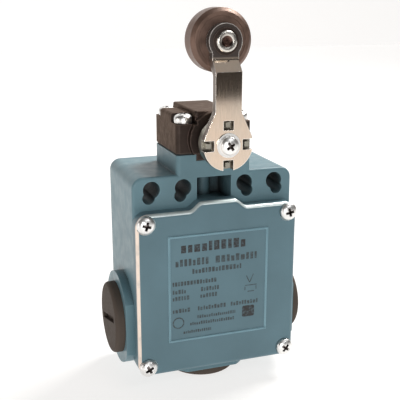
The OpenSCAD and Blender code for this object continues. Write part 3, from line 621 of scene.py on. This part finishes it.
def printed_marks():
    """Rows of plain blocks, an open symbol, a ring and a square badge in place of the printing."""
    rng = random.Random(5)
    bold, fine = bmesh.new(), bmesh.new()
    y_back, y_front = cover_face + 0.02 * MM, cover_face - 0.02 * MM
    left = -frame_half_w
    # mesh, distance under the frame's top edge, height, and start and end of each word, in mm
    rows = ((bold, 4.2, 3.1, ((4.2, 26.4),)), (fine, 8.9, 2.3, ((2.4, 13.4), (15.4, 29.2))),
            (fine, 12.0, 1.6, ((7.8, 24.0),)), (fine, 15.6, 1.4, ((1.4, 16.0),)),
            (fine, 18.2, 1.4, ((1.4, 6.2), (10.6, 16.6))), (fine, 20.4, 1.4, ((1.4, 7.2), (10.4, 16.2))),
            (fine, 24.5, 1.4, ((1.4, 7.0), (9.6, 19.0), (20.6, 30.2))),
            (fine, 27.3, 1.1, ((9.4, 22.2),)), (fine, 29.4, 1.1, ((7.0, 22.2),)),
            (fine, 32.0, 1.0, ((4.8, 14.0),)))
    for bm, down, height, words in rows:
        for start, end in words:
            x = start
            while x < end - 0.3 * height:
                width = min(height * rng.uniform(0.35, 0.62), end - x)
                tall = height * rng.choice((1, 1, 0.78))
                z = frame_top - (down + height / 2) * MM
                front_prism(bm, width / 2 * MM, z, z + tall * MM, 0.12 * MM, y_back, y_front,
                            left + (x + width / 2) * MM, 2)
                x += width + height * 0.2
    # strokes of the symbol: middle, length, width, in mm, and angle
    for x, down, length, wide, angle in ((27.6, 16.6, 3.0, 0.3, 65), (26.4, 16.8, 2.6, 0.3, -65),
                                         (27.4, 18.9, 4.0, 0.3, 0), (25.4, 19.9, 1.2, 0.3, 90),
                                         (29.2, 19.9, 1.2, 0.3, 90), (27.4, 21.0, 2.2, 0.3, 0)):
        place = Vector((left + x * MM, y_back, frame_top - down * MM))
        move = standing(place, (0, -1, 0), math.radians(angle))
        rounded_bar(fine, move, length * MM, wide * MM, y_back - y_front, 0.02 * MM)
    ring_x, ring_z, ring_r, ring_bars = left + 3.2 * MM, frame_top - 28.6 * MM, 1.7 * MM, 12
    ring = standing(Vector((ring_x, y_back, ring_z)), (0, -1, 0))
    for i in range(ring_bars):
        turn = Matrix.Rotation(math.tau * i / ring_bars, 4, "Z")
        move = ring @ turn @ Matrix.Translation((0, ring_r, 0))
        rounded_bar(fine, move, 0.95 * MM, 0.4 * MM, y_back - y_front, 0.02 * MM)
    badge_x, badge_z, badge_h, badge_half_w = left + 26.6 * MM, frame_top - 29.6 * MM, 3.8 * MM, 2.1 * MM
    front_prism(bold, badge_half_w, badge_z, badge_z + badge_h, 0.6 * MM, y_back, y_front, badge_x, 4)
    make_piece("print_bold", bold, "switch_body", "cover_enamel", look=ink("ink_bold", (0.035, 0.034, 0.035)))
    make_piece("print_fine", fine, "switch_body", "cover_enamel", look=ink("ink_fine", (0.05, 0.062, 0.066)))


cover_shell()
cover_frame()
printed_marks()


# ---------------------------------------------------------------- stage, lights, camera

def plane(name, corners, material):
    """Four-cornered sheet of the stage."""
    mesh = bpy.data.meshes.new(name)
    mesh.from_pydata(corners, [], [(0, 1, 2, 3)])
    obj = bpy.data.objects.new(name, mesh)
    bpy.context.collection.objects.link(obj)
    obj.data.materials.append(material)


def paper():
    """Pale paper that glows faintly, so that the ground stays even."""
    s = Shader("stage_paper", (0.9, 0.9, 0.9), 0.9, spec=0.1)
    s.paint(s.mix(s.noise(6, 3), (0.3, 0.295, 0.29), (0.34, 0.34, 0.34)))
    s.bsdf.inputs["Emission Color"].default_value = (1, 0.985, 0.97, 1)
    s.bsdf.inputs["Emission Strength"].default_value = 0.75
    return s.mat


low, high = cad_box
centre = (low + high) / 2
floor_z = low.z
floor_front = low.y - 0.64
floor_back = high.y + 1.5
floor_side = 1.6
white = paper()
plane("floor", [(-floor_side, floor_front, floor_z), (floor_side, floor_front, floor_z),
                (floor_side, floor_back, floor_z), (-floor_side, floor_back, floor_z)], white)
plane("backdrop", [(-floor_side, floor_back, floor_z), (floor_side, floor_back, floor_z),
                   (floor_side, floor_back, floor_z + 1.8), (-floor_side, floor_back, floor_z + 1.8)], white)


def softbox(name, place, size, power, color=(1, 1, 1), aim=None):
    """Area light at a place from the part's centre, facing the centre or another aim."""
    data = bpy.data.lights.new(name, "AREA")
    data.shape = "RECTANGLE"
    data.size, data.size_y = size
    data.energy = power
    data.color = color
    obj = bpy.data.objects.new(name, data)
    bpy.context.collection.objects.link(obj)
    obj.location = centre + Vector(place)
    to = (Vector(aim) if aim else centre) - obj.location
    obj.rotation_euler = to.to_track_quat("-Z", "Y").to_euler()


softbox("key", (0.42, 0.22, 0.6), (0.3, 0.3), 8.5, (1, 0.985, 0.96))
softbox("overhead", (0.05, -0.25, 0.62), (0.5, 0.4), 0.23)
softbox("backdrop_wash", (0, 0.75, 0.9), (1.6, 0.5), 8, (1, 1, 1), (0, floor_back, floor_z + 0.2))
softbox("front_fill", (0.27, -0.6, 0.5), (0.45, 0.12), 1.1, (0.96, 0.98, 1))
softbox("pocket_fill", (-0.13, -0.5, 0.05), (0.12, 0.12), 0.75)
softbox("left_fill", (-0.55, -0.05, 0.02), (0.3, 0.3), 0.7, (1, 0.94, 0.91))

world = bpy.data.worlds.new("studio")
world.use_nodes = True
world.node_tree.nodes["Background"].inputs["Color"].default_value = (1, 0.93, 0.88, 1)
world.node_tree.nodes["Background"].inputs["Strength"].default_value = 0.048
bpy.context.scene.world = world
bpy.context.scene.view_settings.view_transform = "Standard"

# the camera stands in front, to the left and above, and looks at a point on the front of the part
camera_yaw = math.radians(19.05)
camera_pitch = math.radians(15.3)
camera_distance = 228.7 * MM
aim = Vector((centre.x - 4.6 * MM, low.y + 14.2 * MM, centre.z + 1.9 * MM))
look = Vector((math.sin(camera_yaw) * math.cos(camera_pitch),
               math.cos(camera_yaw) * math.cos(camera_pitch), -math.sin(camera_pitch)))
camera_data = bpy.data.cameras.new("camera")
camera_data.lens = 66.9
camera_data.sensor_width = 36
camera_data.clip_start = 0.01
camera = bpy.data.objects.new("camera", camera_data)
bpy.context.collection.objects.link(camera)
camera.location = aim - look * camera_distance
camera.rotation_euler = look.to_track_quat("-Z", "Y").to_euler()
bpy.context.scene.camera = camera
